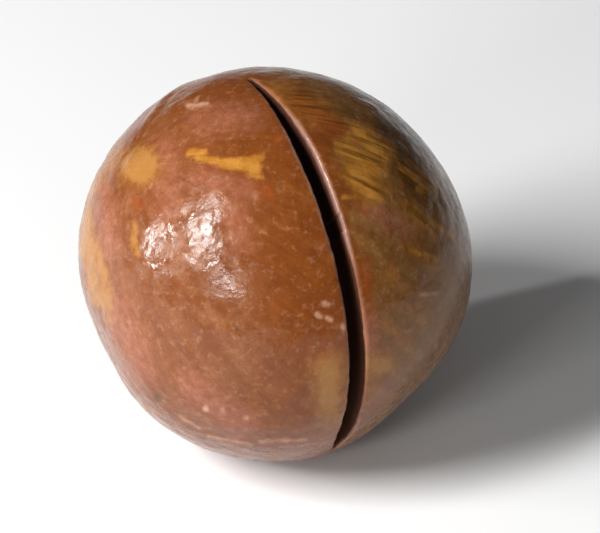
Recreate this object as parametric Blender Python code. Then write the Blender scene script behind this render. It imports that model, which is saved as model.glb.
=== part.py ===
"""A roasted macadamia nut in its shell, sawn part of the way round so that it can be cracked open.

The nut is one solid, about 25 mm across. Its shell is a nearly round ball with broad flats and low
lumps, a sunken scar where it hung from its stalk, a small boss at the other end and a faint seam
between them. The saw cut is as deep as the shell is thick. It gapes in its middle and narrows to its
ends.

Metres, +Z up. The origin is on the surface that the nut rests on, under the middle of its box.
Seen from -Y, the cut runs down the front, to the right of the middle.
"""

import math

import bmesh
import bpy
from mathutils import Matrix, Vector, noise

MILLIMETRE = 0.001

# The ball
RADIUS = 12.62 * MILLIMETRE
GRID_CELLS = 27  # cells along a side of the cube that is blown up into the ball; odd, for a middle row

# The saw cut: angles run along it from straight down, up the front, over the top and down the back
KERF = 1.15 * MILLIMETRE
CUT_DEPTH = 3.0 * MILLIMETRE
CUT_START = math.radians(45.0)
CUT_END = math.radians(197.0)
CUT_RUN_OUT = math.radians(32.0)  # the stretch over which each end rises to the surface
CUT_TURN = math.radians(25.0)  # the cut's plane is upright, and its normal is turned this far from +X

# The stretches over which the cut narrows to its ends, and the share of its width that is left there
NARROWING_AT_START = math.radians(14.0)
NARROWING_AT_END = math.radians(38.0)
NARROWEST_SHARE = 0.25

# Broad forms: the way each faces, its height, below 0 for a flat, and how far it reaches round the ball
BROAD_FORMS = (
    (Vector((-0.90, -0.33, -0.30)), -0.60 * MILLIMETRE, math.radians(21.0)),
    (Vector((0.70, -0.42, -0.57)), -0.55 * MILLIMETRE, math.radians(23.0)),
    (Vector((0.30, 0.90, 0.32)), -0.40 * MILLIMETRE, math.radians(24.0)),
    (Vector((-0.35, 0.62, -0.70)), -0.35 * MILLIMETRE, math.radians(20.0)),
    (Vector((0.80, 0.25, 0.55)), -0.25 * MILLIMETRE, math.radians(22.0)),
    (Vector((-0.64, 0.44, 0.63)), 0.30 * MILLIMETRE, math.radians(38.0)),
)

# The stalk scar and the boss opposite it
SCAR_DIRECTION = Vector((0.70, 0.12, -0.70)).normalized()
SCAR_RADIUS = 3.4 * MILLIMETRE
SCAR_DEPTH = 0.30 * MILLIMETRE
SCAR_EDGE = 1.3 * MILLIMETRE
SCAR_RIM_HEIGHT = 0.08 * MILLIMETRE
BOSS_HEIGHT = 0.14 * MILLIMETRE
BOSS_RADIUS = 1.3 * MILLIMETRE

# The seam runs from the scar to the boss, on the side that faces this way
SEAM_DIRECTION = Vector((0.20, 0.95, 0.25))
SEAM_HEIGHT = 0.09 * MILLIMETRE
SEAM_HALF_WIDTH = 0.9 * MILLIMETRE
SEAM_RISES = (math.radians(14.0), math.radians(24.0))  # angles from the scar
SEAM_FALLS = (math.radians(158.0), math.radians(172.0))

# Swells and lumps of the surface
SWELL_SIZE = 9.0 * MILLIMETRE
SWELL_HEIGHT = 0.16 * MILLIMETRE
LUMP_SIZE = 1.9 * MILLIMETRE
LUMP_HEIGHT = 0.05 * MILLIMETRE
SWELL_PLACE = Vector((4.2, 7.7, 1.3))
LUMP_PLACE = Vector((11.3, 2.9, 5.1))

# The small flat spot that the nut rests on
REST_RADIUS = 2.6 * MILLIMETRE
SMOOTH_REACH = math.radians(24.0)
DOWN = Vector((0.0, 0.0, -1.0))

SHELL_COLOUR = (0.335, 0.139, 0.072, 1.0)
SHELL_ROUGHNESS = 0.42
SHARP_ANGLE = math.radians(40.0)
MERGE_DISTANCE = 0.001 * MILLIMETRE


def fade(value, start, end):
    """0 up to start and 1 past end, turning smoothly between them."""
    share = min(1.0, max(0.0, (value - start) / (end - start)))
    return share * share * (3.0 - 2.0 * share)


def scar_height(arc):
    """Height of the sunken scar and its low rim, by the distance from its middle along the shell."""
    sunken = -SCAR_DEPTH * (1.0 - fade(arc, SCAR_RADIUS - SCAR_EDGE, SCAR_RADIUS))
    rim = SCAR_RIM_HEIGHT * math.exp(-(((arc - SCAR_RADIUS) / SCAR_EDGE) ** 2))
    return sunken + rim


def seam_height(direction, from_scar):
    """Height of the low ridge from the scar to the boss, which fades before it reaches either."""
    side = SCAR_DIRECTION.cross(SEAM_DIRECTION).normalized()
    if direction.dot(side.cross(SCAR_DIRECTION)) < 0.0:
        return 0.0
    ends = fade(from_scar, *SEAM_RISES) * (1.0 - fade(from_scar, *SEAM_FALLS))
    across = abs(direction.dot(side)) * RADIUS
    return SEAM_HEIGHT * ends * (1.0 - fade(across, 0.0, SEAM_HALF_WIDTH))


def shell_radius(direction):
    """Distance from the nut's middle to its surface along a unit direction."""
    radius = RADIUS
    for facing, height, reach in BROAD_FORMS:
        turn = direction.angle(facing)
        radius += height * math.exp(-((turn / reach) ** 2))
    from_scar = direction.angle(SCAR_DIRECTION)
    radius += scar_height(from_scar * RADIUS)
    radius += seam_height(direction, from_scar)
    from_boss = (math.pi - from_scar) * RADIUS
    radius += BOSS_HEIGHT * (1.0 - fade(from_boss, 0.0, BOSS_RADIUS))
    radius += SWELL_HEIGHT * noise.noise(direction * (RADIUS / SWELL_SIZE) + SWELL_PLACE)
    near_rest = fade(direction.angle(DOWN), SMOOTH_REACH / 2.0, SMOOTH_REACH)
    lump = noise.noise(direction * (RADIUS / LUMP_SIZE) + LUMP_PLACE)
    return radius + LUMP_HEIGHT * lump * near_rest


def cut_frame():
    """Turns the ball's own axes to the world: X points down and Y forwards in the cut's plane."""
    forwards = Vector((math.sin(CUT_TURN), -math.cos(CUT_TURN), 0.0))
    across = DOWN.cross(forwards)
    return Matrix((DOWN, forwards, across)).transposed()


def angle_along_cut(point):
    """Angle of a point in the ball's own axes, from straight down, up over the front."""
    return math.atan2(point.y, point.x) % math.tau


def cut_depth(angle):
    """Depth of the cut at an angle along it. Each end rises to the surface in the blade's own curve."""
    from_end = min(angle - CUT_START, CUT_END - angle)
    if from_end <= 0.0:
        return 0.0
    rise = max(0.0, 1.0 - from_end / CUT_RUN_OUT)
    return CUT_DEPTH * (1.0 - rise * rise)


def cut_half_width(angle):
    """Half the width of the cut at an angle along it. It gapes in its middle and narrows to its ends."""
    from_start = abs(angle - CUT_START) / NARROWING_AT_START
    from_end = abs(angle - CUT_END) / NARROWING_AT_END
    share = min(1.0, from_start, from_end)
    return KERF / 2.0 * (NARROWEST_SHARE + (1.0 - NARROWEST_SHARE) * share)


def blow_up(cube_point):
    """Moves a point of a cube of side 2 onto the unit ball, in nearly equal steps."""
    spread = Vector(math.tan(part * math.pi / 4.0) for part in cube_point)
    return spread.normalized()


def ball_mesh():
    """A unit ball from a subdivided cube, whose middle row of faces is as wide as the saw cut."""
    ball = bmesh.new()
    bmesh.ops.create_cube(ball, size=2.0)
    bmesh.ops.subdivide_edges(ball, edges=ball.edges[:], cuts=GRID_CELLS - 1, use_grid_fill=True)
    half_cell = 1.0 / GRID_CELLS
    lips = []
    for vert in ball.verts:
        in_middle_row = abs(abs(vert.co.z) - half_cell) < half_cell / 2.0
        on_a_side = max(abs(vert.co.x), abs(vert.co.y)) > 1.0 - half_cell / 2.0
        if in_middle_row and on_a_side:
            lips.append(vert)
        vert.co = blow_up(vert.co)
    for vert in lips:
        height = math.copysign(cut_half_width(angle_along_cut(vert.co)) / RADIUS, vert.co.z)
        flat = Vector((vert.co.x, vert.co.y, 0.0)).normalized() * math.sqrt(1.0 - height * height)
        vert.co = flat + Vector((0.0, 0.0, height))
    return ball, set(lips)


def shape_shell(ball):
    """Gives the unit ball the shell's own surface, still in the ball's own axes."""
    to_world = cut_frame()
    for vert in ball.verts:
        vert.co *= shell_radius(to_world @ vert.co)


def saw(ball, lips):
    """Sinks the middle row of faces along the cut, and closes it to the surface at both ends."""
    half_column = math.pi / 4.0 / GRID_CELLS
    row = []
    for face in ball.faces:
        angle = angle_along_cut(face.calc_center_median())
        if lips.issuperset(face.verts) and CUT_START - half_column < angle < CUT_END + half_column:
            row.append(face)
    row_edges = {edge for face in row for edge in face.edges}
    sunk = bmesh.ops.extrude_face_region(ball, geom=row + list(row_edges))["geom"]
    for vert in (part for part in sunk if isinstance(part, bmesh.types.BMVert)):
        depth = cut_depth(angle_along_cut(vert.co))
        in_plane = Vector((vert.co.x, vert.co.y, 0.0))
        vert.co -= in_plane.normalized() * depth
    bmesh.ops.remove_doubles(ball, verts=ball.verts[:], dist=MERGE_DISTANCE)


def level_foot(ball):
    """Cuts the flat spot that the nut rests on, and returns its height."""
    height = -math.sqrt(shell_radius(DOWN) ** 2 - REST_RADIUS**2)
    everything = ball.verts[:] + ball.edges[:] + ball.faces[:]
    foot = bmesh.ops.bisect_plane(
        ball,
        geom=everything,
        plane_co=(0.0, 0.0, height),
        plane_no=DOWN,
        clear_outer=True,
        dist=MERGE_DISTANCE,
    )
    rim = [part for part in foot["geom_cut"] if isinstance(part, bmesh.types.BMEdge)]
    bmesh.ops.edgeloop_fill(ball, edges=rim)
    for vert in {vert for edge in rim for vert in edge.verts}:
        vert.co.z = height
    return height


def stand_on_origin(ball, height):
    """Moves the flat spot to Z 0 and the middle of the nut's box over the origin."""
    low = [min(vert.co[axis] for vert in ball.verts) for axis in range(2)]
    high = [max(vert.co[axis] for vert in ball.verts) for axis in range(2)]
    middle = Vector(((low[0] + high[0]) / 2.0, (low[1] + high[1]) / 2.0, height))
    bmesh.ops.translate(ball, verts=ball.verts[:], vec=-middle)


def shell_material():
    """Brown, polished roasted shell."""
    material = bpy.data.materials.new("roasted_shell")
    material.use_nodes = True
    surface = material.node_tree.nodes["Principled BSDF"]
    surface.inputs["Base Color"].default_value = SHELL_COLOUR
    surface.inputs["Roughness"].default_value = SHELL_ROUGHNESS
    surface.inputs["Metallic"].default_value = 0.0
    return material


def make_nut(collection):
    """The whole nut, as one named object."""
    ball, lips = ball_mesh()
    shape_shell(ball)
    saw(ball, lips)
    bmesh.ops.transform(ball, matrix=cut_frame().to_4x4(), verts=ball.verts[:])
    height = level_foot(ball)
    stand_on_origin(ball, height)
    bmesh.ops.recalc_face_normals(ball, faces=ball.faces[:])
    mesh = bpy.data.meshes.new("nut")
    ball.to_mesh(mesh)
    ball.free()
    mesh.materials.append(shell_material())
    mesh.shade_smooth()
    mesh.set_sharp_from_angle(angle=SHARP_ANGLE)
    nut = bpy.data.objects.new("nut", mesh)
    collection.objects.link(nut)
    return nut


def main():
    for old in list(bpy.data.objects):
        bpy.data.objects.remove(old)
    collection = bpy.data.collections.new("macadamia_nut_in_shell")
    bpy.context.scene.collection.children.link(collection)
    make_nut(collection)


main()
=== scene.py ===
"""The looks of a roasted macadamia nut in its sawn shell, built over its solid.

The shell is a fine ball that keeps the solid's own form, with pebbled relief, pits and worn lips
along the saw cut. Its marks are laid as brush strokes where the photograph shows them, and are
scattered by a fixed seed over the rest of the shell. The floor, the lights and the camera are the
stage.

Metres, +Z up. The nut lies on Z 0 and the viewer looks along +Y.
"""

import math

import bmesh
import bpy
import numpy as np
from bpy.props import FloatProperty, FloatVectorProperty, PointerProperty
from mathutils import Matrix, Vector, noise


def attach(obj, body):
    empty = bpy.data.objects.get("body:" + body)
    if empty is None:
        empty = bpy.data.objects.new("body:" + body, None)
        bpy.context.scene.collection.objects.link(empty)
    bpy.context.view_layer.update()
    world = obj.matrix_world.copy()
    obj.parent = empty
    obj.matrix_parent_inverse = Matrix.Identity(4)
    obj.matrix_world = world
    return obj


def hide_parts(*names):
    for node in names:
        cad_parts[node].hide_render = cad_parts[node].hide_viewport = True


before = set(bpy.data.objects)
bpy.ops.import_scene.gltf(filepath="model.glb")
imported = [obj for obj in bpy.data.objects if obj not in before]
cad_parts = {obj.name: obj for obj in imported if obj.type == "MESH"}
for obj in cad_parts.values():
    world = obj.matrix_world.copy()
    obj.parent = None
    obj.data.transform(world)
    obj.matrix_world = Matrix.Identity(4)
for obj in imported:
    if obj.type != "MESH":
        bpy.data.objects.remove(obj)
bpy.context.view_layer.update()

bl_info = {
    "name": "Macadamia Nut in Shell",
    "version": (1, 0, 0),
    "blender": (4, 5, 0),
    "location": "3D View > Sidebar > Nut",
    "description": "Builds a roasted macadamia nut with a sawn shell, and the stage it is seen on",
    "category": "Add Mesh",
}

MILLIMETRE = 0.001
NUT_NAME = "macadamia_nut"

# The ball, as in the solid
RADIUS = 12.62 * MILLIMETRE
DOWN = Vector((0.0, 0.0, -1.0))
REST_RADIUS = 2.6 * MILLIMETRE
SMOOTH_REACH = math.radians(24.0)

# The ball's flattened places and its fuller one, as in the solid: facing, height and reach
BROAD_FORMS = (
    (Vector((-0.90, -0.33, -0.30)), -0.60 * MILLIMETRE, math.radians(21.0)),
    (Vector((0.70, -0.42, -0.57)), -0.55 * MILLIMETRE, math.radians(23.0)),
    (Vector((0.30, 0.90, 0.32)), -0.40 * MILLIMETRE, math.radians(24.0)),
    (Vector((-0.35, 0.62, -0.70)), -0.35 * MILLIMETRE, math.radians(20.0)),
    (Vector((0.80, 0.25, 0.55)), -0.25 * MILLIMETRE, math.radians(22.0)),
    (Vector((-0.64, 0.44, 0.63)), 0.30 * MILLIMETRE, math.radians(38.0)),
)

# The stalk scar, the boss, the seam, the swells and the lumps, as in the solid
SCAR_DIRECTION = Vector((0.70, 0.12, -0.70)).normalized()
SCAR_RADIUS = 3.4 * MILLIMETRE
SCAR_DEPTH = 0.30 * MILLIMETRE
SCAR_EDGE = 1.3 * MILLIMETRE
SCAR_RIM_HEIGHT = 0.08 * MILLIMETRE
BOSS_HEIGHT = 0.14 * MILLIMETRE
BOSS_RADIUS = 1.3 * MILLIMETRE
SEAM_DIRECTION = Vector((0.20, 0.95, 0.25))
SEAM_HEIGHT = 0.09 * MILLIMETRE
SEAM_HALF_WIDTH = 0.9 * MILLIMETRE
SEAM_RISES = (math.radians(14.0), math.radians(24.0))
SEAM_FALLS = (math.radians(158.0), math.radians(172.0))
SWELL_SIZE = 9.0 * MILLIMETRE
SWELL_HEIGHT = 0.16 * MILLIMETRE
LUMP_SIZE = 1.9 * MILLIMETRE
LUMP_HEIGHT = 0.05 * MILLIMETRE
SWELL_PLACE = Vector((4.2, 7.7, 1.3))
LUMP_PLACE = Vector((11.3, 2.9, 5.1))

# Relief that the solid leaves out: pebbles, higher in some places than in others, and grit on them
PEBBLE_PLACE = Vector((3.1, 8.4, 6.2))
GRIT_SIZE = 0.5 * MILLIMETRE
GRIT_PLACE = Vector((7.7, 1.9, 2.3))
GRIT_SHARE = 0.30
UNEVEN_SIZE = 5.0 * MILLIMETRE
UNEVEN_PLACE = Vector((2.2, 5.5, 9.1))
UNEVEN_MIDDLE = 0.6
UNEVEN_SWING = 0.8
UNEVEN_LIMITS = (0.2, 1.2)

# The saw cut, as in the solid: angles run from straight down, up the front and over the top
CUT_START = math.radians(45.0)
CUT_END = math.radians(197.0)
CUT_RUN_OUT = math.radians(32.0)
CUT_TURN = math.radians(25.0)
NARROWING_AT_START = math.radians(14.0)
NARROWING_AT_END = math.radians(38.0)
NARROWEST_SHARE = 0.25

# Painted light: the cut's walls are pale cut shell in full where they catch the light, elsewhere in
# part
RAW_AND_LIT_FROM = (math.radians(116.0), math.radians(134.0))
RAW_AND_LIT_TO = (math.radians(158.0), math.radians(182.0))
LEAST_RAW_AND_LIT = 0.28

# Wear along the lips of the cut, and the chips in them
WEAR_REACH = 0.20 * MILLIMETRE
WEAR_SIZE = 0.55 * MILLIMETRE
WEAR_PLACE = Vector((5.0, 3.0, 1.0))
WEAR_SWING = 0.9
CHIP_REACH = 0.40 * MILLIMETRE
CHIP_SIZE = 1.4 * MILLIMETRE
CHIP_PLACE = Vector((9.0, 4.0, 7.0))
CHIP_LEAST = 0.32
CHIP_TIMES_WEAR = 5.0
WORN_DEPTH = 0.4 * MILLIMETRE
LIP_NOTED_DEPTH = 0.2 * MILLIMETRE
FAR_FROM_LIP = 2.0

# The fine mesh: cells along a side of the cube, the rows of cells that the cut takes to either side
# of its middle, the rows that crowd up to it, and the steps down its walls
CELLS = 120
CUT_ROWS = 3
EVEN_ROWS = 13
ROW_CROWDING = 1.35
WALL_STEPS = (0.012, 0.03, 0.07, 0.15, 0.32, 0.62, 1.0)
WELD = 0.0008 * MILLIMETRE
LIP_ALLOWANCE = 1.07  # how far past its half width the cut's lips may lie on the fuller shell

# The photograph's nut: the ball's middle in its pixels, and the size of a pixel there
PHOTO_MIDDLE = (229.8, 336.3)
PHOTO_PIXEL = 0.2558 * MILLIMETRE
CAMERA_DISTANCE = 0.5
VIEW_HEIGHT = math.radians(35.0)
PAST_LIMB = 12.0  # how steeply the photograph's marks end where the shell turns away
FAR_OUTSIDE = -2.0  # what is stored, in millimetres, for a point far from every stroke of a kind

# Marks in photograph pixels. Each is a stroke: its start, its end, and its half width at each
GOLD_STROKES = (
    # The wide fleck, from its thin left tip to its forked right end
    ((208.6, 308.2), (212.6, 307.8), 0.9, 0.9),
    ((210.5, 309.2), (217.0, 310.6), 0.8, 1.0),
    ((217.0, 310.8), (224.5, 311.4), 1.3, 2.3),
    ((223.5, 310.0), (227.0, 309.0), 1.0, 0.6),
    ((223.0, 312.6), (226.8, 314.4), 1.0, 0.6),
    # Threads on the far side of the cut
    ((268.0, 324.6), (274.6, 329.2), 0.6, 0.5),
    ((264.6, 332.6), (270.8, 334.9), 0.6, 0.4),
    ((265.8, 317.0), (268.0, 318.6), 0.8, 0.6),
    ((247.4, 319.1), (253.6, 319.2), 0.5, 0.4),
)
STRIPED_STROKES = (
    # The large patch past the cut
    ((251.0, 302.5), (256.5, 308.0), 2.0, 2.8),
    ((247.6, 306.5), (254.0, 311.5), 1.8, 3.4),
    ((250.0, 313.0), (255.0, 318.0), 2.6, 2.6),
    # Slips between it and the limb
    ((262.8, 312.5), (270.0, 317.0), 1.5, 1.1),
    ((264.0, 322.0), (270.0, 328.5), 1.1, 0.8),
)
SOFT_GOLD_STROKES = (
    # The round fleck
    ((195.7, 311.7), (196.9, 310.6), 3.8, 3.6),
    # Down the left limb
    ((185.2, 311.0), (183.2, 318.0), 1.0, 1.2),
    ((182.2, 319.0), (182.4, 332.0), 1.8, 2.2),
    ((183.6, 331.0), (186.0, 344.0), 2.4, 2.8),
    ((186.6, 344.0), (188.6, 350.0), 1.5, 0.8),
    # Left of the highlights
    ((194.8, 326.0), (195.2, 333.0), 0.7, 0.8),
    # The low patches, right and left of the cut
    ((255.4, 361.4), (257.6, 361.2), 2.1, 1.9),
    ((243.4, 362.2), (243.6, 371.2), 2.4, 2.1),
)
ORANGE_STROKES = (
    # Along the right lip of the cut, and right of its upper end
    ((252.6, 336.0), (253.2, 343.6), 1.2, 1.0),
    ((253.4, 344.5), (254.2, 350.0), 0.8, 0.5),
    ((251.8, 320.4), (253.0, 322.4), 1.1, 0.9),
    ((235.5, 294.5), (246.0, 302.0), 2.2, 2.6),
    # Along its left lip, low down
    ((243.0, 346.0), (243.2, 366.0), 0.6, 0.4),
    # Spots on the left side
    ((186.9, 316.6), (188.0, 319.0), 1.4, 1.1),
    ((195.0, 320.2), (195.6, 321.4), 1.2, 1.0),
    ((230.2, 304.6), (231.0, 305.8), 1.1, 0.9),
    ((227.6, 317.0), (228.8, 318.2), 1.4, 1.1),
)
AMBER_STROKES = (
    # Beside the round fleck, and up the left limb
    ((195.6, 311.4), (197.0, 311.2), 4.6, 4.6),
    ((185.5, 316.5), (190.0, 307.5), 1.6, 1.6),
    # Under the low patches
    ((243.8, 361.8), (243.8, 373.6), 4.0, 3.4),
    ((254.4, 360.4), (258.4, 360.6), 2.2, 1.9),
    ((254.4, 363.5), (254.8, 368.5), 1.8, 1.3),
    # Faint streaks on the far side
    ((258.5, 338.5), (263.5, 343.0), 0.7, 0.5),
    ((262.0, 346.0), (267.0, 349.5), 0.7, 0.5),
    ((258.0, 351.5), (262.5, 355.5), 0.6, 0.4),
    ((263.5, 331.0), (269.5, 337.0), 0.8, 0.6),
    # Beside the upper end of the cut
    ((231.0, 291.5), (241.0, 298.0), 2.6, 3.4),
)
ROSE_STROKES = (
    # Between the flecks, and above them
    ((202.5, 307.0), (203.5, 322.0), 2.8, 2.6),
    ((212.0, 300.0), (223.5, 299.0), 4.0, 3.0),
    # Round the highlights
    ((211.0, 314.5), (222.0, 318.0), 2.4, 2.6),
    ((187.8, 322.0), (188.6, 331.0), 2.0, 2.0),
    ((219.5, 322.0), (221.5, 330.0), 2.6, 2.6),
    # Low on the left side
    ((190.5, 347.0), (196.0, 362.0), 2.6, 3.0),
    ((208.0, 366.0), (222.0, 376.0), 3.0, 3.0),
    # On the far side
    ((253.5, 350.5), (254.5, 357.5), 1.8, 1.8),
    ((255.0, 322.5), (263.0, 327.5), 2.4, 2.4),
)
STREAKED_AND_SHADE_STROKES = (
    # Dark streaks right of the cut's upper end and down past the striped patch, partly painted
    # shade
    ((236.5, 294.0), (246.0, 300.0), 2.6, 3.0),
    ((258.0, 304.0), (266.0, 318.0), 3.0, 3.0),
)
OLIVE_AND_SHADE_STROKES = (
    # Past the striped patch, and above it: dark olive, partly the shell's own and partly painted
    # shade
    ((258.5, 303.0), (266.0, 316.0), 3.2, 3.4),
    ((248.0, 297.5), (258.0, 302.0), 1.8, 2.2),
)
PALE_STROKES = (
    # The pale streak near the top
    ((208.4, 296.4), (213.0, 295.8), 0.6, 0.5),
    ((210.2, 295.4), (210.6, 294.6), 0.4, 0.3),
    # Specks left of the cut
    ((242.6, 346.0), (243.4, 346.4), 0.7, 0.6),
    ((240.8, 348.8), (241.4, 349.2), 0.7, 0.6),
    ((243.4, 349.6), (244.2, 350.0), 0.7, 0.6),
    ((247.0, 351.6), (247.4, 351.9), 0.6, 0.5),
    # Specks low down
    ((212.7, 372.0), (212.9, 372.4), 0.6, 0.6),
    ((217.0, 372.4), (217.2, 372.8), 0.6, 0.6),
    ((222.8, 374.4), (223.2, 374.8), 0.5, 0.5),
    # A scratch on the far side, and faint pale lines along the bottom
    ((266.6, 343.6), (270.6, 343.2), 0.3, 0.2),
    ((213.0, 379.2), (224.0, 381.4), 0.1, 0.2),
    ((226.0, 380.6), (238.0, 380.2), 0.2, 0.1),
    ((206.0, 374.0), (211.0, 377.2), 0.1, 0.1),
)
SEEN_STROKES = {
    "gold": GOLD_STROKES,
    "striped": STRIPED_STROKES,
    "soft_gold": SOFT_GOLD_STROKES,
    "orange": ORANGE_STROKES,
    "amber": AMBER_STROKES,
    "rose": ROSE_STROKES,
    "streaked_and_shaded": STREAKED_AND_SHADE_STROKES,
    "olive": OLIVE_AND_SHADE_STROKES,
    "pale": PALE_STROKES,
}

# Pits in photograph pixels: place, radius, depth. They fade out over the radius times the spread
PIT_SPREAD = 1.6
PITS = (
    ((200.9, 369.4), 1.4, 0.05 * MILLIMETRE),
    ((220.6, 352.1), 0.9, 0.04 * MILLIMETRE),
    ((222.5, 369.8), 1.1, 0.03 * MILLIMETRE),
)

# Marks on the side that the photograph doesn't show: how many, and their lengths and half widths
# in millimetres. They keep clear of the poles of the grain, and are narrower at their tips
HIDDEN_SEED = 11
HIDDEN_STROKES = {
    "gold": (24, (0.4, 4.0), (0.1, 0.6)),
    "striped": (4, (2.0, 5.0), (0.7, 1.5)),
    "orange": (8, (0.5, 3.0), (0.1, 0.35)),
    "amber": (9, (1.0, 5.0), (0.8, 1.6)),
    "rose": (9, (1.0, 5.0), (0.8, 1.6)),
}
HIDDEN_FACING = -0.25
POLE = -SCAR_DIRECTION
CLEAR_OF_POLES = 0.93
TIP_SHARE = 0.55
TIP_PLACES = (0.1, 0.9)
HIDDEN_PITS = 40
HIDDEN_PIT_FACING = -0.1
HIDDEN_PIT_RADIUS = 0.45 * MILLIMETRE
HIDDEN_PIT_DEPTH = 0.05 * MILLIMETRE

# The shell's browns. A noise's values: bumps to the metre, finer layers, and the strength of each.
# A stretch: bumps round and along the grain. A range: where one colour gives way to another, in
# noise or across the nut from its left side, and how much of the other is there before and after
CALM_RANGE = (-0.95, -0.45)
CALM_SHARE = 0.45
BLOTCH_NOISE = (260.0, 3.0, 0.6)
BLOTCH_RANGE = (0.38, 0.64)
WANDER_NOISE = (170.0, 3.0, 0.5)
WANDER_SHARE = 0.7
BESIDE_CUT_RANGE = (-0.72, -0.28)
BESIDE_CUT_SHARE = 0.85
FAR_SIDE_RANGE = (0.05, 0.25)
MOTTLE_NOISE = (900.0, 4.0, 0.65)
LIGHT_MOTTLES = (0.48, 0.70, 0.0, 0.18)
DARK_MOTTLES = (0.34, 0.48, 0.6, 0.0)
STREAK_STRETCH = (15.0, 15.0, 2.0)
STREAK_NOISE = (1.0, 4.0, 0.6)
STREAK_RANGE = (0.30, 0.70, 0.0, 0.32)
STREAK_SHADE = (0.5, 0.42, 0.34)
THREAD_STRETCH = (24.0, 24.0, 3.0)
THREAD_NOISE = (1.0, 4.0, 0.7)
LIGHT_THREADS = (0.46, 0.66, 0.0, 0.12)
DARK_THREADS = (0.32, 0.46, 0.20, 0.0)
SPECKLE_NOISE = (2000.0, 4.0, 0.7)
DARK_SPECKLES = (0.34, 0.50, 0.56, 0.0)
LIGHT_SPECKLES = (0.52, 0.70, 0.0, 0.15)

# The edges of the marks: how ragged they are, where they begin and end, both in millimetres, and
# the strength inside them
RAGGED_NOISE = (1700.0, 4.0, 0.6)
OLIVE_AND_SHADE_EDGE = (1.4, -0.7, 0.6, 0.6)
ROSE_EDGE = (1.4, -0.9, 0.7, 0.58)
AMBER_EDGE = (1.4, -0.7, 0.5, 0.75)
ORANGE_EDGE = (1.2, -0.40, 0.40, 0.50)
STRIPED_EDGE = (1.2, -0.55, 0.55, 0.92)
STREAKED_AND_SHADE_EDGE = (1.2, -0.6, 0.6, 1.0)
GOLD_EDGE = (0.6, -0.16, 0.22, 1.0)
SOFT_GOLD_EDGE = (0.9, -0.24, 0.26, 0.92)
PALE_EDGE = (0.5, -0.16, 0.22, 0.65)
SCAR_BORDER = (1.6, -0.2, 0.9, 1.0)
GOLD_NOISE = (900.0, 3.0, 0.6)
GOLD_RANGE = (0.32, 0.62)
LINE_STRETCH = (32.0, 32.0, 2.4)
LINE_NOISE = (1.0, 3.0, 0.6)
STRIPE_RANGE = (0.38, 0.54, 0.85, 0.0)
FLECK_LINES = (0.32, 0.56, 0.62, 0.92)
BREAK_NOISE = (620.0, 3.0, 0.6)
BREAK_RANGE = (0.34, 0.52, 0.45, 1.0)
PIT_RANGE = (0.008, 0.04, 0.0, 0.7)

# The cut: pale shell on its lips and wall tops, painted lighter where lit, then painted shade down
# its depth
LIP_NOISE = (1300.0, 2.0, 0.5)
LIP_RAGGED = 0.20
LIP_RANGE = (0.12, 0.40, 0.75, 0.0)
WALL_RANGE = (0.0, 0.03)
INSIDE_SHADE_RANGE = (0.10, 0.62)
DEEPEST_SHADE_RANGE = (0.9, 2.2)

# The scar's fibres, the polish and the bumps that are too small for the mesh
FIBRE_NOISE = (1600.0, 4.0, 0.7)
FIBRE_RANGE = (0.35, 0.65)
SCAR_SHARE = 0.85
POLISH_NOISE = (900.0, 4.0, 0.6)
POLISH_RANGE = (0.3, 0.7)
LESS_ROUGH = -0.08
MORE_ROUGH = 0.10
DULL_RANGE = (0.0, 0.02)
DULL_ROUGHNESS = 0.85
SHINE = 0.31
SMALL_PEBBLE_NOISE = (1500.0, 2.0, 0.5)
SMALL_PEBBLE_STRENGTH = 0.8
SMALL_PEBBLE_HEIGHT = 0.05 * MILLIMETRE
SMALL_GRIT_NOISE = (4200.0, 1.0, 0.5)
SMALL_GRIT_STRENGTH = 0.6
SMALL_GRIT_HEIGHT = 0.018 * MILLIMETRE

# The stage. A light's values: direction from the nut, distance, width and height, share of the key
# light's power, turn about its own direction, and whether it shows in the polish. The front light
# only fills: in the polish it would be a broad haze
LIGHT_TURN = math.radians(30.0)
LIGHTS = {
    "key": (Vector((-0.640, -0.400, 0.655)), 0.4, (0.074, 0.17), 1.0, LIGHT_TURN, True),
    "strip": (Vector((-0.930, -0.188, 0.315)), 0.4, (0.014, 0.10), 0.30, LIGHT_TURN, True),
    "low": (Vector((-0.456, -0.794, 0.402)), 0.4, (0.10, 0.035), 0.18, 0.0, True),
    "front": (Vector((0.15, -0.75, 0.65)), 0.8, (0.9, 0.9), 0.49, 0.0, False),
}
CAMERA_AIM = Vector((0.0016, 0.0, 0.0124))
SENSOR_WIDTH = 36.0
NEAREST_SEEN = 0.01
FLOOR_SIZE = 3.0
FLOOR_ROUGHNESS = 0.9


def linear(red, green, blue):
    """A colour given in ordinary 0 to 255 values, as the linear values that shaders take."""
    values = []
    for part in (red, green, blue):
        share = part / 255.0
        values.append(share / 12.92 if share <= 0.04045 else ((share + 0.055) / 1.055) ** 2.4)
    return tuple(values)


def colour(name, description, values):
    """A colour that the sidebar can change."""
    return FloatVectorProperty(
        name=name,
        description=description,
        subtype="COLOR",
        size=3,
        min=0.0,
        max=1.0,
        default=values,
    )


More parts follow.
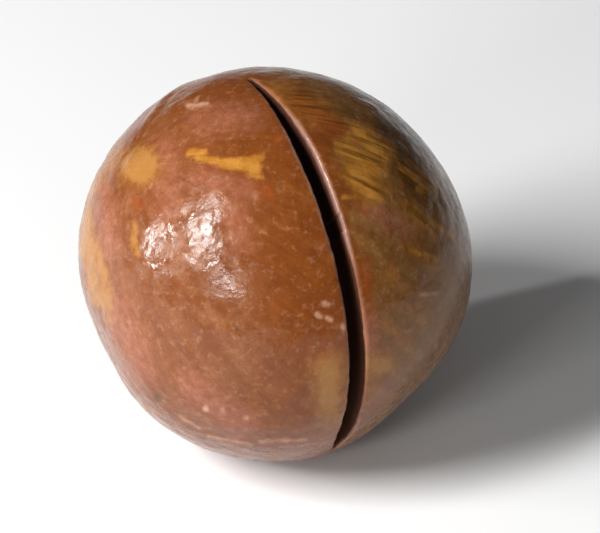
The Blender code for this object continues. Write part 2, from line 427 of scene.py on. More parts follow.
class NutSettings(bpy.types.PropertyGroup):
    """Sizes and colours of the nut."""

    kerf: FloatProperty(
        name="Cut Width",
        description="Width of the saw cut",
        default=1.15 * MILLIMETRE,
        min=0.2 * MILLIMETRE,
        unit="LENGTH",
    )
    cut_depth: FloatProperty(
        name="Cut Depth",
        description="Depth of the saw cut where it is deepest",
        default=3.0 * MILLIMETRE,
        min=0.5 * MILLIMETRE,
        unit="LENGTH",
    )
    pebble_size: FloatProperty(
        name="Pebble Size",
        description="Size of the shell's small bumps",
        default=0.9 * MILLIMETRE,
        unit="LENGTH",
    )
    pebble_height: FloatProperty(
        name="Pebble Height",
        description="Height of the small bumps",
        default=0.04 * MILLIMETRE,
        unit="LENGTH",
    )
    lip_wear: FloatProperty(
        name="Lip Wear",
        description="How far the lips of the cut are worn",
        default=0.09 * MILLIMETRE,
        unit="LENGTH",
    )
    rosy_brown: colour("Rosy Brown", "Main colour of the shell", linear(130, 80, 51))
    red_brown: colour("Red Brown", "Darker blotches of the shell", linear(112, 60, 30))
    orange_brown: colour("Orange Brown", "Shell beside the cut", linear(118, 59, 14))
    olive_brown: colour("Olive Brown", "Shell on the far side of the cut", linear(122, 84, 42))
    amber: colour("Amber", "Soft golden tints of the shell", linear(146, 94, 36))
    rose: colour("Rose", "Soft pink tints of the shell", linear(154, 94, 72))
    gold: colour("Gold", "Flecks on the shell", linear(178, 122, 50))
    soft_gold: colour("Soft Gold", "Flecks with soft edges", linear(154, 106, 54))
    dark_gold: colour("Dark Gold", "Duller parts of the flecks", linear(160, 102, 34))
    stripe_brown: colour("Stripe Brown", "Stripes across the gold patches", linear(84, 50, 12))
    orange: colour("Orange", "Orange streaks", linear(140, 64, 20))
    # Pale: streaks and specks laid over the shell
    pale: colour("Pale", "Scuffs and specks", linear(205, 160, 132))
    # Lip and wall colours: pale shell, shown in full only where painted light falls on the cut
    lip: colour("Lip", "Worn lips of the cut", linear(162, 122, 104))
    wall: colour("Wall", "Raw shell on the walls of the cut", linear(150, 112, 104))
    # Olive: partly the shell's own dark olive, partly painted shade past the gold patches
    olive: colour("Olive", "Dark olive tints past the gold patches", linear(78, 52, 16))
    # Inside and deepest: the shell's brown inner side, with painted shade darkening it down the cut
    inside: colour("Inside", "Walls of the cut below its lips", linear(74, 37, 18))
    deepest: colour("Deepest", "Floor of the cut", linear(62, 28, 12))
    scar: colour("Scar", "Stalk scar", linear(150, 120, 92))
    roughness: FloatProperty(
        name="Roughness",
        description="Roughness of the polished shell",
        default=0.21,
        min=0.0,
        max=1.0,
    )


class StageSettings(bpy.types.PropertyGroup):
    """The camera, the lights and the floor."""

    view_height: FloatProperty(
        name="View Height",
        description="Camera's angle over the floor",
        default=VIEW_HEIGHT,
        subtype="ANGLE",
    )
    camera_distance: FloatProperty(
        name="Camera Distance",
        description="From the camera to the nut",
        default=CAMERA_DISTANCE,
        unit="LENGTH",
    )
    frame_width: FloatProperty(
        name="Frame Width",
        description="Width of the picture at the nut",
        default=38.5 * MILLIMETRE,
        unit="LENGTH",
    )
    key_strength: FloatProperty(
        name="Key Light", description="Power of the large soft light, in watts", default=2.12
    )
    fill_strength: FloatProperty(
        name="Fill Light", description="Strength of the light from all round", default=0.05
    )
    floor_colour: colour("Floor", "Colour of the floor", (0.85, 0.85, 0.85))


def fade(value, start, end):
    """0 up to start and 1 past end, turning smoothly between them."""
    share = np.clip((value - start) / (end - start), 0.0, 1.0)
    return share * share * (3.0 - 2.0 * share)


def angles_between(ways, direction):
    """Angle of each unit direction from one other."""
    return np.arccos(np.clip(ways @ np.array(direction.normalized()), -1.0, 1.0))


def noise_at(ways, size, place):
    """Smooth noise on the shell, with bumps of about one size. The place picks its pattern."""
    scale = RADIUS / size
    return np.array([noise.noise(Vector(way) * scale + place) for way in ways])


def scar_heights(arc):
    """Height of the sunken stalk scar and its rim, by the distance along the shell from it."""
    sunken = -SCAR_DEPTH * (1.0 - fade(arc, SCAR_RADIUS - SCAR_EDGE, SCAR_RADIUS))
    return sunken + SCAR_RIM_HEIGHT * np.exp(-(((arc - SCAR_RADIUS) / SCAR_EDGE) ** 2))


def seam_heights(ways, from_scar):
    """Height of the seam that runs down one side, from the scar to the boss."""
    side = SCAR_DIRECTION.cross(SEAM_DIRECTION).normalized()
    towards_seam = np.array(side.cross(SCAR_DIRECTION))
    ends = fade(from_scar, *SEAM_RISES) * (1.0 - fade(from_scar, *SEAM_FALLS))
    across = np.abs(ways @ np.array(side)) * RADIUS
    ridge = 1.0 - fade(across, 0.0, SEAM_HALF_WIDTH)
    return SEAM_HEIGHT * ends * ridge * (ways @ towards_seam > 0.0)


def smooth_radii(ways):
    """Distance from the nut's middle to its surface, with only the broad forms."""
    radii = np.full(len(ways), RADIUS)
    for facing, height, reach in BROAD_FORMS:
        radii += height * np.exp(-((angles_between(ways, facing) / reach) ** 2))
    return radii


def away_from_rest(ways):
    """0 at the flat spot and 1 well away from it."""
    return fade(angles_between(ways, DOWN), SMOOTH_REACH / 2.0, SMOOTH_REACH)


def shell_radii(ways):
    """Distance from the nut's middle to its surface along each direction, as in the solid."""
    radii = smooth_radii(ways)
    from_scar = angles_between(ways, SCAR_DIRECTION)
    radii += scar_heights(from_scar * RADIUS)
    radii += seam_heights(ways, from_scar)
    radii += BOSS_HEIGHT * (1.0 - fade((math.pi - from_scar) * RADIUS, 0.0, BOSS_RADIUS))
    radii += SWELL_HEIGHT * noise_at(ways, SWELL_SIZE, SWELL_PLACE)
    return radii + LUMP_HEIGHT * noise_at(ways, LUMP_SIZE, LUMP_PLACE) * away_from_rest(ways)


def photo_places(ways):
    """Where the photograph shows each point, in its pixels, and how far it faces the camera."""
    right = Vector((1.0, 0.0, 0.0))
    up = Vector((0.0, math.sin(VIEW_HEIGHT), math.cos(VIEW_HEIGHT)))
    towards = Vector((0.0, -math.cos(VIEW_HEIGHT), math.sin(VIEW_HEIGHT)))
    radii = smooth_radii(ways)
    facing = ways @ np.array(towards)
    scale = radii / PHOTO_PIXEL / (1.0 - radii * facing / CAMERA_DISTANCE)
    across = PHOTO_MIDDLE[0] + scale * (ways @ np.array(right))
    down = PHOTO_MIDDLE[1] - scale * (ways @ np.array(up))
    return np.stack((across, down), axis=1), facing


def distance_to_line(places, start, end):
    """Distance of each place from the line between two points, and how far along it is, 0 to 1."""
    start, end = np.array(start), np.array(end)
    along = (places - start) @ (end - start) / max(1e-9, (end - start) @ (end - start))
    along = np.clip(along, 0.0, 1.0)
    nearest = start + along[:, None] * (end - start)
    return np.linalg.norm(places - nearest, axis=1), along


def seen_strokes(places, facing, strokes):
    """How far inside the nearest of the photograph's strokes each point is, in millimetres."""
    inside = np.full(len(places), -np.inf)
    for start, end, start_half, end_half in strokes:
        distance, along = distance_to_line(places, start, end)
        half = start_half + (end_half - start_half) * along
        inside = np.maximum(inside, half - distance)
    past_limb = np.clip(-facing, 0.0, 1.0) * PAST_LIMB
    return np.maximum(inside * PHOTO_PIXEL / MILLIMETRE - past_limb, FAR_OUTSIDE)


def hidden_strokes(ways, generator, count, lengths, half_widths):
    """Strokes scattered along the grain, on the side that the photograph doesn't show."""
    inside = np.full(len(ways), FAR_OUTSIDE)
    pole = np.array(POLE)
    made = 0
    while made < count:
        start = generator.normal(size=3)
        start /= np.linalg.norm(start)
        length = generator.uniform(*lengths) * MILLIMETRE / RADIUS
        half = generator.uniform(*half_widths)
        facing = photo_places(start[None, :])[1][0]
        if facing > HIDDEN_FACING or abs(start @ pole) > CLEAR_OF_POLES:
            continue
        onwards = pole - start * (start @ pole)
        end = start + length * onwards / np.linalg.norm(onwards)
        end /= np.linalg.norm(end)
        distance, along = distance_to_line(ways, start, end)
        taper = TIP_SHARE + (1.0 - TIP_SHARE) * np.sin(math.pi * np.clip(along, *TIP_PLACES))
        inside = np.maximum(inside, half * taper - distance * RADIUS / MILLIMETRE)
        made += 1
    return inside


def pit_depths(ways):
    """Depth of the pits that the photograph shows, and of the scattered ones."""
    places, facing = photo_places(ways)
    depths = np.zeros(len(ways))
    for place, radius, depth in PITS:
        distance = np.linalg.norm(places - np.array(place), axis=1)
        depths += depth * (1.0 - fade(distance, 0.0, radius * PIT_SPREAD)) * (facing > 0.0)
    generator = np.random.default_rng(HIDDEN_SEED + 1)
    for spot in generator.normal(size=(HIDDEN_PITS, 3)):
        if photo_places(spot[None, :])[1][0] > HIDDEN_PIT_FACING:
            continue
        arc = angles_between(ways, Vector(spot)) * RADIUS
        depths += HIDDEN_PIT_DEPTH * (1.0 - fade(arc, 0.0, HIDDEN_PIT_RADIUS))
    return depths


def fine_relief(ways, settings):
    """Pebbles, grit and pits, which the solid leaves out."""
    pebbles = noise_at(ways, settings.pebble_size, PEBBLE_PLACE)
    grit = noise_at(ways, GRIT_SIZE, GRIT_PLACE)
    uneven = UNEVEN_MIDDLE + UNEVEN_SWING * noise_at(ways, UNEVEN_SIZE, UNEVEN_PLACE)
    relief = settings.pebble_height * pebbles * np.clip(uneven, *UNEVEN_LIMITS)
    relief += GRIT_SHARE * settings.pebble_height * grit
    return (relief - pit_depths(ways)) * away_from_rest(ways)


def cut_turn():
    """Turns the ball's own axes to the world: X points down and Y forwards in the cut's plane."""
    forwards = Vector((math.sin(CUT_TURN), -math.cos(CUT_TURN), 0.0))
    return Matrix((DOWN, forwards, DOWN.cross(forwards))).transposed()


def cut_depths(angles, deepest):
    """Depth of the cut at angles along it. It rises to the surface at each end as a blade does."""
    from_end = np.minimum(angles - CUT_START, CUT_END - angles)
    rise = np.clip(1.0 - from_end / CUT_RUN_OUT, 0.0, 1.0)
    return np.where(from_end > 0.0, deepest * (1.0 - rise * rise), 0.0)


def cut_half_widths(angles, kerf):
    """Half the width of the cut at angles along it. It narrows to its ends."""
    from_start = np.abs(angles - CUT_START) / NARROWING_AT_START
    from_end = np.abs(angles - CUT_END) / NARROWING_AT_END
    share = np.minimum(1.0, np.minimum(from_start, from_end))
    return kerf / 2.0 * (NARROWEST_SHARE + (1.0 - NARROWEST_SHARE) * share)


def angles_along_cut(places):
    """Angle of places in the ball's own axes, from straight down, up over the front."""
    return np.arctan2(places[:, 1], places[:, 0]) % math.tau


def read_places(mesh):
    """The mesh's vertices as rows of X, Y, Z."""
    places = np.empty(len(mesh.vertices) * 3)
    mesh.vertices.foreach_get("co", places)
    return places.reshape(-1, 3)


def write_places(mesh, places):
    """Moves the mesh's vertices to rows of X, Y, Z."""
    mesh.vertices.foreach_set("co", places.ravel())
    mesh.update()


def ball_ways(cube, kerf):
    """Blows a cube's grid up into a ball. The rows beside the cut run along it and crowd to it."""
    spread = np.tan(cube * math.pi / 4.0)
    ways = spread / np.linalg.norm(spread, axis=1)[:, None]
    row = np.abs(cube[:, 2]) * CELLS / 2.0
    on_side = np.maximum(np.abs(cube[:, 0]), np.abs(cube[:, 1])) > 1.0 - 0.5 / CELLS
    near = on_side & (row < EVEN_ROWS + 0.5) & (row > 0.5)
    flat = np.linalg.norm(ways[:, :2], axis=1)
    row_angle = row * math.pi / 2.0 / CELLS
    narrowing = np.abs(ways[:, 2]) / flat / np.maximum(np.tan(row_angle), 1e-9)
    even_height = np.arctan(narrowing * math.tan(EVEN_ROWS * math.pi / 2.0 / CELLS))
    lip_height = np.arcsin(cut_half_widths(angles_along_cut(ways), kerf) / RADIUS)
    share = np.clip((row - CUT_ROWS) / (EVEN_ROWS - CUT_ROWS), 0.0, 1.0) ** ROW_CROWDING
    in_cut = lip_height * row / CUT_ROWS
    past_lip = lip_height + (even_height - lip_height) * share
    height = np.where(row > CUT_ROWS + 0.5, past_lip, in_cut)
    height *= np.sign(cube[:, 2])
    straight = np.stack(
        (
            ways[:, 0] / flat * np.cos(height),
            ways[:, 1] / flat * np.cos(height),
            np.sin(height),
        ),
        axis=1,
    )
    return np.where(near[:, None], straight, ways)


def lip_wear(places, settings):
    """How far the surface is worn down beside the cut, with small chips along it."""
    angles = angles_along_cut(places)
    beside = np.maximum(np.abs(places[:, 2]) - cut_half_widths(angles, settings.kerf), 0.0)
    cut = fade(cut_depths(angles, settings.cut_depth), 0.0, WORN_DEPTH)
    ways = places / np.linalg.norm(places, axis=1)[:, None]
    rough = 1.0 + WEAR_SWING * noise_at(ways, WEAR_SIZE, WEAR_PLACE)
    chips = np.clip(noise_at(ways, CHIP_SIZE, CHIP_PLACE) - CHIP_LEAST, 0.0, 1.0)
    wear = settings.lip_wear * rough * np.clip(1.0 - beside / WEAR_REACH, 0.0, 1.0) ** 2
    chip_share = np.clip(1.0 - beside / CHIP_REACH, 0.0, 1.0)
    wear += CHIP_TIMES_WEAR * settings.lip_wear * chips * chip_share
    return wear * cut


def add_ball(settings, height):
    """A cube, subdivided and blown up into the shell, in the ball's own axes."""
    bpy.ops.object.select_all(action="DESELECT")
    bpy.ops.mesh.primitive_cube_add(
        size=2.0 * RADIUS, location=(0.0, 0.0, height), rotation=cut_turn().to_euler()
    )
    nut = bpy.context.object
    nut.name = NUT_NAME
    nut.data.name = NUT_NAME
    bpy.ops.object.mode_set(mode="EDIT")
    bpy.ops.mesh.select_all(action="SELECT")
    bpy.ops.mesh.subdivide(number_cuts=CELLS // 2 - 1)
    bpy.ops.mesh.subdivide(number_cuts=1)
    bpy.ops.object.mode_set(mode="OBJECT")
    ways = ball_ways(read_places(nut.data) / RADIUS, settings.kerf)
    world_ways = ways @ np.array(cut_turn()).T
    places = ways * (shell_radii(world_ways) + fine_relief(world_ways, settings))[:, None]
    places -= ways * lip_wear(places, settings)[:, None]
    write_places(nut.data, places)
    return nut


def select_cut_faces(nut, settings):
    """Selects the rows of faces that the blade goes through."""
    mesh = bmesh.from_edit_mesh(nut.data)
    half_cell = math.pi / 4.0 / CELLS
    places = np.array([vert.co for vert in mesh.verts])
    limits = cut_half_widths(angles_along_cut(places), settings.kerf) * LIP_ALLOWANCE
    in_cut = np.abs(places[:, 2]) < limits
    mesh.verts.index_update()
    for face in mesh.faces:
        middle = face.calc_center_median()
        angle = math.atan2(middle.y, middle.x) % math.tau
        in_rows = all(in_cut[vert.index] for vert in face.verts)
        face.select_set(in_rows and CUT_START - half_cell < angle < CUT_END + half_cell)
    bmesh.update_edit_mesh(nut.data)


def sink_selected(nut, settings, from_share, to_share):
    """Moves the extruded faces down the cut by one step, and notes their depth in millimetres."""
    mesh = bmesh.from_edit_mesh(nut.data)
    depth_note = mesh.verts.layers.float.get("cut") or mesh.verts.layers.float.new("cut")
    for vert in mesh.verts:
        if not vert.select:
            continue
        angle = math.atan2(vert.co.y, vert.co.x) % math.tau
        depth = float(cut_depths(np.array([angle]), settings.cut_depth)[0])
        inwards = Vector((-vert.co.x, -vert.co.y, 0.0)).normalized()
        vert.co += inwards * depth * (to_share - from_share)
        vert[depth_note] = depth * to_share / MILLIMETRE
    bmesh.update_edit_mesh(nut.data)


def saw(nut, settings):
    """Saws the slit: the rows of faces are extruded down in steps, which the colours fade over."""
    bpy.ops.object.mode_set(mode="EDIT")
    bpy.ops.mesh.select_mode(type="FACE")
    bpy.ops.mesh.select_all(action="DESELECT")
    select_cut_faces(nut, settings)
    reached = 0.0
    for share in WALL_STEPS:
        bpy.ops.mesh.extrude_region()
        sink_selected(nut, settings, reached, share)
        reached = share
    bpy.ops.mesh.select_all(action="SELECT")
    bpy.ops.mesh.remove_doubles(threshold=WELD)
    bpy.ops.mesh.normals_make_consistent(inside=False)
    bpy.ops.object.mode_set(mode="OBJECT")


def level_foot(nut, height):
    """Puts the nut into the world and levels the flat spot that it rests on."""
    bpy.ops.object.transform_apply(location=True, rotation=True, scale=False)
    places = read_places(nut.data)
    low, high = places.min(axis=0), places.max(axis=0)
    places[:, :2] -= (low[:2] + high[:2]) / 2.0
    places[:, 2] = np.maximum(places[:, 2], 0.0)
    write_places(nut.data, places)
    return Vector((-(low[0] + high[0]) / 2.0, -(low[1] + high[1]) / 2.0, height))


def note(mesh, name, values):
    """Stores one number for each vertex, for the shader to read."""
    layer = mesh.attributes.new(name, "FLOAT", "POINT")
    layer.data.foreach_set("value", np.asarray(values, dtype=np.float32))


def note_strokes(mesh, ways):
    """Stores how far inside the nearest mark of each kind every point is."""
    places, facing = photo_places(ways)
    generator = np.random.default_rng(HIDDEN_SEED)
    for name, strokes in SEEN_STROKES.items():
        inside = seen_strokes(places, facing, strokes)
        if name in HIDDEN_STROKES:
            inside = np.maximum(inside, hidden_strokes(ways, generator, *HIDDEN_STROKES[name]))
        note(mesh, name, inside)


def note_cut(mesh, ways, settings):
    """Stores each point's distance from the cut's lips, its share of painted light on the cut, and
    its side.
    """
    cut_ways = ways @ np.array(cut_turn())
    angles = angles_along_cut(cut_ways)
    half_widths = cut_half_widths(angles, settings.kerf)
    beside = (np.abs(cut_ways[:, 2]) * RADIUS - half_widths) / MILLIMETRE
    uncut = 1.0 - fade(cut_depths(angles, settings.cut_depth), 0.0, LIP_NOTED_DEPTH)
    note(mesh, "lip", np.clip(beside, 0.0, FAR_FROM_LIP) + FAR_FROM_LIP * uncut)
    # Painted light: full where the light falls on the cut's walls, in part elsewhere
    raw_and_lit = fade(angles, *RAW_AND_LIT_FROM) * (1.0 - fade(angles, *RAW_AND_LIT_TO))
    note(mesh, "raw_and_lit", LEAST_RAW_AND_LIT + (1.0 - LEAST_RAW_AND_LIT) * raw_and_lit)
    note(mesh, "side", -cut_ways[:, 2])


def note_grain(mesh, ways):
    """Stores each point's place in the grain, which runs from pole to pole: turn and angle."""
    pole = np.array(POLE)
    first = np.array(POLE.orthogonal().normalized())
    second = np.cross(pole, first)
    turn = np.arctan2(ways @ second, ways @ first)
    grain = np.stack((np.cos(turn), np.sin(turn), angles_between(ways, POLE)), axis=1)
    layer = mesh.attributes.new("grain", "FLOAT_VECTOR", "POINT")
    layer.data.foreach_set("vector", grain.astype(np.float32).ravel())


def note_marks(nut, middle, settings):
    """Stores where the shell's marks, pits, scar, cut and grain lie, for the shader to read."""
    mesh = nut.data
    places = read_places(mesh) - np.array(middle)
    ways = places / np.linalg.norm(places, axis=1)[:, None]
    note_strokes(mesh, ways)
    note(mesh, "pits", pit_depths(ways) / MILLIMETRE)
    note(mesh, "scar", (SCAR_RADIUS - angles_between(ways, SCAR_DIRECTION) * RADIUS) / MILLIMETRE)
    note_cut(mesh, ways, settings)
    note_grain(mesh, ways)


class Shader:
    """Adds shader nodes and joins them up."""

    def __init__(self, material):
        material.use_nodes = True
        self.tree = material.node_tree
        self.surface = self.tree.nodes["Principled BSDF"]

    def put(self, socket, value):
        """Joins a node's output to a socket, or sets the socket's own number or colour."""
        if isinstance(value, bpy.types.NodeSocket):
            self.tree.links.new(value, socket)
        elif socket.type == "RGBA":
            socket.default_value = (*value, 1.0)
        else:
            socket.default_value = value

    def attribute(self, name, vector=False):
        """Reads what the mesh stores for each point under a name."""
        node = self.tree.nodes.new("ShaderNodeAttribute")
        node.attribute_name = name
        return node.outputs["Vector" if vector else "Fac"]

    def place(self):
        """Reads each point's place on the object, in metres."""
        return self.tree.nodes.new("ShaderNodeTexCoord").outputs["Object"]

    def stretch(self, vector, scale):
        """Scales a place along each of its axes."""
        node = self.tree.nodes.new("ShaderNodeMapping")
        self.put(node.inputs["Vector"], vector)
        node.inputs["Scale"].default_value = scale
        return node.outputs["Vector"]

    def noise(self, vector, scale, detail, roughness):
        """Smooth noise from 0 to 1, mostly near its middle."""
        node = self.tree.nodes.new("ShaderNodeTexNoise")
        self.put(node.inputs["Vector"], vector)
        node.inputs["Scale"].default_value = scale
        node.inputs["Detail"].default_value = detail
        node.inputs["Roughness"].default_value = roughness
        return node.outputs["Fac"]

    def swing(self, vector, values, size):
        """Noise that swings about 0, within half a size to either side."""
        centred = self.math("SUBTRACT", self.noise(vector, *values), 0.5)
        return self.math("MULTIPLY", centred, size)

    def math(self, operation, first, second):
        """Works out one number from two."""
        node = self.tree.nodes.new("ShaderNodeMath")
        node.operation = operation
        self.put(node.inputs[0], first)
        self.put(node.inputs[1], second)
        return node.outputs[0]

    def between(self, value, low, high, to_low=0.0, to_high=1.0):
        """Maps a value's range to another, smoothly and with its ends held."""
        node = self.tree.nodes.new("ShaderNodeMapRange")
        node.interpolation_type = "SMOOTHSTEP"
        self.put(node.inputs["Value"], value)
        node.inputs["From Min"].default_value = low
        node.inputs["From Max"].default_value = high
        node.inputs["To Min"].default_value = to_low
        node.inputs["To Max"].default_value = to_high
        return node.outputs["Result"]

    def mix(self, share, first, second, blend="MIX"):
        """Mixes two colours."""
        node = self.tree.nodes.new("ShaderNodeMix")
        node.data_type = "RGBA"
        node.blend_type = blend
        inputs = {socket.identifier: socket for socket in node.inputs}
        outputs = {socket.identifier: socket for socket in node.outputs}
        self.put(inputs["Factor_Float"], share)
        self.put(inputs["A_Color"], first)
        self.put(inputs["B_Color"], second)
        return outputs["Result_Color"]

    def bump(self, height, strength, distance, normal=None):
        """Tilts the surface as a height would, on top of other bumps where they are given."""
        node = self.tree.nodes.new("ShaderNodeBump")
        node.inputs["Strength"].default_value = strength
        node.inputs["Distance"].default_value = distance
        self.put(node.inputs["Height"], height)
        if normal is not None:
            self.put(node.inputs["Normal"], normal)
        return node.outputs["Normal"]

    def edge_of(self, name, ragged, low, high, strength):
        """A mark's mask: its stored depth, with a ragged edge, up to a strength."""
        wander = self.swing(self.place(), RAGGED_NOISE, ragged)
        depth = self.math("ADD", self.attribute(name), wander)
        return self.between(depth, low, high, 0.0, strength)


def broad_colours(shader, settings):
    """The shell's browns: blotches, warmer beside the cut, olive past it, and mottles."""
    place = shader.place()
    side = shader.attribute("side")
    calm = shader.between(side, *CALM_RANGE, CALM_SHARE, 0.0)
    blotches = shader.between(shader.noise(place, *BLOTCH_NOISE), *BLOTCH_RANGE)
    rosy = shader.math("MAXIMUM", blotches, calm)
    browns = shader.mix(rosy, settings.red_brown, settings.rosy_brown)
    across = shader.math("ADD", side, shader.swing(place, WANDER_NOISE, WANDER_SHARE))
    beside = shader.math("MULTIPLY", shader.between(across, *BESIDE_CUT_RANGE), BESIDE_CUT_SHARE)
    browns = shader.mix(beside, browns, settings.orange_brown)
    browns = shader.mix(shader.between(across, *FAR_SIDE_RANGE), browns, settings.olive_brown)
    mottles = shader.noise(place, *MOTTLE_NOISE)
    browns = shader.mix(shader.between(mottles, *LIGHT_MOTTLES), browns, settings.amber)
    return shader.mix(shader.between(mottles, *DARK_MOTTLES), browns, settings.red_brown)


def tints(shader, settings, browns):
    """Soft olive, rose and amber tints over the browns. The olive is partly painted shade."""
    # The olive tint is partly painted shade
    browns = shader.mix(shader.edge_of("olive", *OLIVE_AND_SHADE_EDGE), browns, settings.olive)
    browns = shader.mix(shader.edge_of("rose", *ROSE_EDGE), browns, settings.rose)
    return shader.mix(shader.edge_of("amber", *AMBER_EDGE), browns, settings.amber)


def fine_colours(shader, settings, browns):
    """Fine streaks and threads along the grain, and speckles."""
    grain = shader.attribute("grain", vector=True)
    streaks = shader.noise(shader.stretch(grain, STREAK_STRETCH), *STREAK_NOISE)
    browns = shader.mix(shader.between(streaks, *STREAK_RANGE), browns, STREAK_SHADE, "MULTIPLY")
    threads = shader.noise(shader.stretch(grain, THREAD_STRETCH), *THREAD_NOISE)
    browns = shader.mix(shader.between(threads, *LIGHT_THREADS), browns, settings.amber)
    browns = shader.mix(shader.between(threads, *DARK_THREADS), browns, settings.red_brown)
    speckles = shader.noise(shader.place(), *SPECKLE_NOISE)
    browns = shader.mix(shader.between(speckles, *DARK_SPECKLES), browns, settings.red_brown)
    return shader.mix(shader.between(speckles, *LIGHT_SPECKLES), browns, settings.pale)


def marks(shader, settings, base):
    """Lays the orange, striped, gold and pale marks over the browns, and darkens the pits."""
    place = shader.place()
    grain = shader.attribute("grain", vector=True)
    lines = shader.noise(shader.stretch(grain, LINE_STRETCH), *LINE_NOISE)
    base = shader.mix(shader.edge_of("orange", *ORANGE_EDGE), base, settings.orange)
    shades = shader.between(shader.noise(place, *GOLD_NOISE), *GOLD_RANGE)
    golds = shader.mix(shades, settings.dark_gold, settings.gold)
    striped = shader.edge_of("striped", *STRIPED_EDGE)
    base = shader.mix(striped, base, golds)
    # The dark stripes also run over the streaked strokes, which are partly painted shade
    streaked_and_shaded = shader.math("MAXIMUM", striped, shader.edge_of("streaked_and_shaded", *STREAKED_AND_SHADE_EDGE))
    stripes = shader.math("MULTIPLY", shader.between(lines, *STRIPE_RANGE), streaked_and_shaded)
    base = shader.mix(stripes, base, settings.stripe_brown)
    broken = shader.between(shader.noise(place, *BREAK_NOISE), *BREAK_RANGE)
    soft = shader.math("MULTIPLY", shader.edge_of("soft_gold", *SOFT_GOLD_EDGE), broken)
    base = shader.mix(soft, base, settings.soft_gold)
    lined = shader.between(lines, *FLECK_LINES)
    flecks = shader.math("MULTIPLY", shader.edge_of("gold", *GOLD_EDGE), lined)
    base = shader.mix(flecks, base, golds)
    base = shader.mix(shader.edge_of("pale", *PALE_EDGE), base, settings.pale)
    pits = shader.between(shader.attribute("pits"), *PIT_RANGE)
    return shader.mix(pits, base, settings.stripe_brown)


def cut_colours(shader, settings, base):
    """Pale shell along the lips, fullest under painted light, turning dark down the cut as painted
    shade.
    """
    ragged = shader.math("MULTIPLY", shader.noise(shader.place(), *LIP_NOISE), LIP_RAGGED)
    beside = shader.math("ADD", shader.attribute("lip"), ragged)
    # Painted light: the pale lips and walls show in full only where the cut catches the light
    raw_and_lit = shader.attribute("raw_and_lit")
    lip = shader.math("MULTIPLY", shader.between(beside, *LIP_RANGE), raw_and_lit)
    base = shader.mix(lip, base, settings.lip)
    depth = shader.attribute("cut")
    wall = shader.math("MULTIPLY", shader.between(depth, *WALL_RANGE), raw_and_lit)
    base = shader.mix(wall, base, settings.wall)
    # Painted shade over the shell's brown inner side: darker with depth, sooner out of the light,
    # darkest at the floor
    shaded = shader.math("DIVIDE", depth, raw_and_lit)
    base = shader.mix(shader.between(shaded, *INSIDE_SHADE_RANGE), base, settings.inside)
    return shader.mix(shader.between(depth, *DEEPEST_SHADE_RANGE), base, settings.deepest)


def scar_colours(shader, settings, scar, base):
    """Pale and dark fibres over the stalk scar."""
    fibres = shader.between(shader.noise(shader.place(), *FIBRE_NOISE), *FIBRE_RANGE)
    torn = shader.mix(fibres, settings.stripe_brown, settings.scar)
    return shader.mix(shader.math("MULTIPLY", scar, SCAR_SHARE), base, torn)


def polish(shader, settings, scar):
    """Roughness of the polished shell, and of the dull scar and cut."""
    limits = (settings.roughness + LESS_ROUGH, settings.roughness + MORE_ROUGH)
    uneven = shader.noise(shader.place(), *POLISH_NOISE)
    polished = shader.between(uneven, *POLISH_RANGE, *limits)
    dull = shader.math("MAXIMUM", scar, shader.between(shader.attribute("cut"), *DULL_RANGE))
    return shader.math("MAXIMUM", polished, shader.math("MULTIPLY", dull, DULL_ROUGHNESS))


def small_bumps(shader):
    """Pebbles and grit that are too small for the mesh."""
    place = shader.place()
    pebbles = shader.noise(place, *SMALL_PEBBLE_NOISE)
    bumps = shader.bump(pebbles, SMALL_PEBBLE_STRENGTH, SMALL_PEBBLE_HEIGHT)
    grit = shader.noise(place, *SMALL_GRIT_NOISE)
    return shader.bump(grit, SMALL_GRIT_STRENGTH, SMALL_GRIT_HEIGHT, bumps)


def shell_material(settings):
    """Roasted, polished shell with its marks, its cut and its scar."""
    material = bpy.data.materials.new("roasted_shell")
    shader = Shader(material)
    scar = shader.edge_of("scar", *SCAR_BORDER)
    base = broad_colours(shader, settings)
    base = tints(shader, settings, base)
    base = fine_colours(shader, settings, base)
    base = marks(shader, settings, base)
    base = cut_colours(shader, settings, base)
    base = scar_colours(shader, settings, scar, base)
    shader.put(shader.surface.inputs["Base Color"], base)
    shader.put(shader.surface.inputs["Roughness"], polish(shader, settings, scar))
    shader.surface.inputs["Specular IOR Level"].default_value = SHINE
    shader.put(shader.surface.inputs["Normal"], small_bumps(shader))
    return material


def make_nut(settings):
    """The finished nut."""
    height = math.sqrt(float(shell_radii(np.array([DOWN]))[0]) ** 2 - REST_RADIUS**2)
    nut = add_ball(settings, height)
    saw(nut, settings)
    middle = level_foot(nut, height)
    note_marks(nut, middle, settings)
    nut.data.materials.append(shell_material(settings))
    bpy.ops.object.shade_smooth()
    return nut


class NUT_OT_shell(bpy.types.Operator):
    """Builds the nut in its sawn shell"""

    bl_idname = "nut.shell"
    bl_label = "Nut in Shell"

    def execute(self, context):
        nut = make_nut(context.scene.nut_settings)
        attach(nut, "root")
        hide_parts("nut")
        return {"FINISHED"}


def floor_material(settings):
    """Plain, pale and matt."""
    material = bpy.data.materials.new("floor")
    material.use_nodes = True
    surface = material.node_tree.nodes["Principled BSDF"]
    surface.inputs["Base Color"].default_value = (*settings.floor_colour, 1.0)
    surface.inputs["Roughness"].default_value = FLOOR_ROUGHNESS
    return material


def add_floor(settings):
    """The floor that the nut rests on."""
    bpy.ops.mesh.primitive_plane_add(size=FLOOR_SIZE, location=(0.0, 0.0, 0.0))
    floor = bpy.context.object
    floor.name = "floor"
    floor.data.materials.append(floor_material(settings))
    return floor


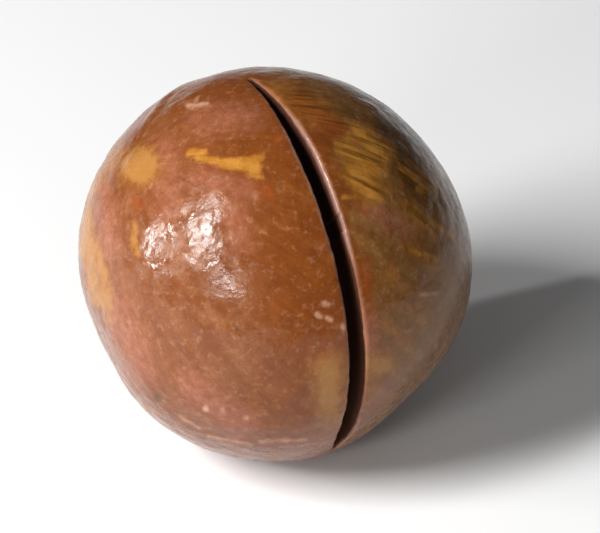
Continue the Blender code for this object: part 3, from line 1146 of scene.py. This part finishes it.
def add_soft_light(name, towards, distance, size, power, turn, in_polish):
    """A rectangular soft light that faces the nut, turned about its own direction."""
    bpy.ops.object.light_add(type="AREA", location=towards.normalized() * distance)
    light = bpy.context.object
    light.name = name
    facing = towards.to_track_quat("Z", "Y").to_matrix()
    light.rotation_euler = (facing @ Matrix.Rotation(turn, 3, "Z")).to_euler()
    light.data.shape = "RECTANGLE"
    light.data.size, light.data.size_y = size
    light.data.energy = power
    light.visible_glossy = in_polish


def add_world(settings):
    """Even light from all round. The camera sees it as white."""
    world = bpy.data.worlds.new("studio")
    world.use_nodes = True
    bpy.context.scene.world = world
    tree = world.node_tree
    background = tree.nodes["Background"]
    background.inputs["Color"].default_value = (1.0, 1.0, 1.0, 1.0)
    rays = tree.nodes.new("ShaderNodeLightPath")
    strength = tree.nodes.new("ShaderNodeMapRange")
    strength.inputs["To Min"].default_value = settings.fill_strength
    strength.inputs["To Max"].default_value = 1.0
    tree.links.new(rays.outputs["Is Camera Ray"], strength.inputs["Value"])
    tree.links.new(strength.outputs["Result"], background.inputs["Strength"])


def add_camera(settings):
    """A long lens at the photograph's height over the floor."""
    backwards = Vector((0.0, -math.cos(settings.view_height), math.sin(settings.view_height)))
    bpy.ops.object.camera_add(location=CAMERA_AIM + backwards * settings.camera_distance)
    camera = bpy.context.object
    camera.name = "camera"
    camera.rotation_euler = backwards.to_track_quat("Z", "Y").to_euler()
    camera.data.sensor_width = SENSOR_WIDTH
    camera.data.lens = SENSOR_WIDTH * settings.camera_distance / settings.frame_width
    camera.data.clip_start = NEAREST_SEEN
    bpy.context.scene.camera = camera


class NUT_OT_stage(bpy.types.Operator):
    """Sets the floor, the lights and the camera"""

    bl_idname = "nut.stage"
    bl_label = "Stage"

    def execute(self, context):
        settings = context.scene.stage_settings
        bpy.ops.object.select_all(action="DESELECT")
        add_floor(settings)
        for name, (towards, distance, size, share, turn, in_polish) in LIGHTS.items():
            power = share * settings.key_strength
            add_soft_light(name, towards, distance, size, power, turn, in_polish)
        add_world(settings)
        add_camera(settings)
        context.scene.view_settings.view_transform = "Standard"
        return {"FINISHED"}


class NUT_PT_panel(bpy.types.Panel):
    """Shows the nut's and the stage's settings and build buttons in the 3D view's sidebar"""

    bl_idname = "NUT_PT_panel"
    bl_label = "Nut"
    bl_space_type = "VIEW_3D"
    bl_region_type = "UI"
    bl_category = "Nut"

    def draw(self, context):
        layout = self.layout
        for settings in (context.scene.nut_settings, context.scene.stage_settings):
            for name in settings.__annotations__:
                layout.prop(settings, name)
        layout.operator(NUT_OT_shell.bl_idname)
        layout.operator(NUT_OT_stage.bl_idname)


CLASSES = (NutSettings, StageSettings, NUT_OT_shell, NUT_OT_stage, NUT_PT_panel)


def register():
    for kind in CLASSES:
        bpy.utils.register_class(kind)
    bpy.types.Scene.nut_settings = PointerProperty(type=NutSettings)
    bpy.types.Scene.stage_settings = PointerProperty(type=StageSettings)


def unregister():
    del bpy.types.Scene.stage_settings
    del bpy.types.Scene.nut_settings
    for kind in reversed(CLASSES):
        bpy.utils.unregister_class(kind)


def main():
    register()
    bpy.ops.nut.shell()
    bpy.ops.nut.stage()


if __name__ == "__main__":
    main()
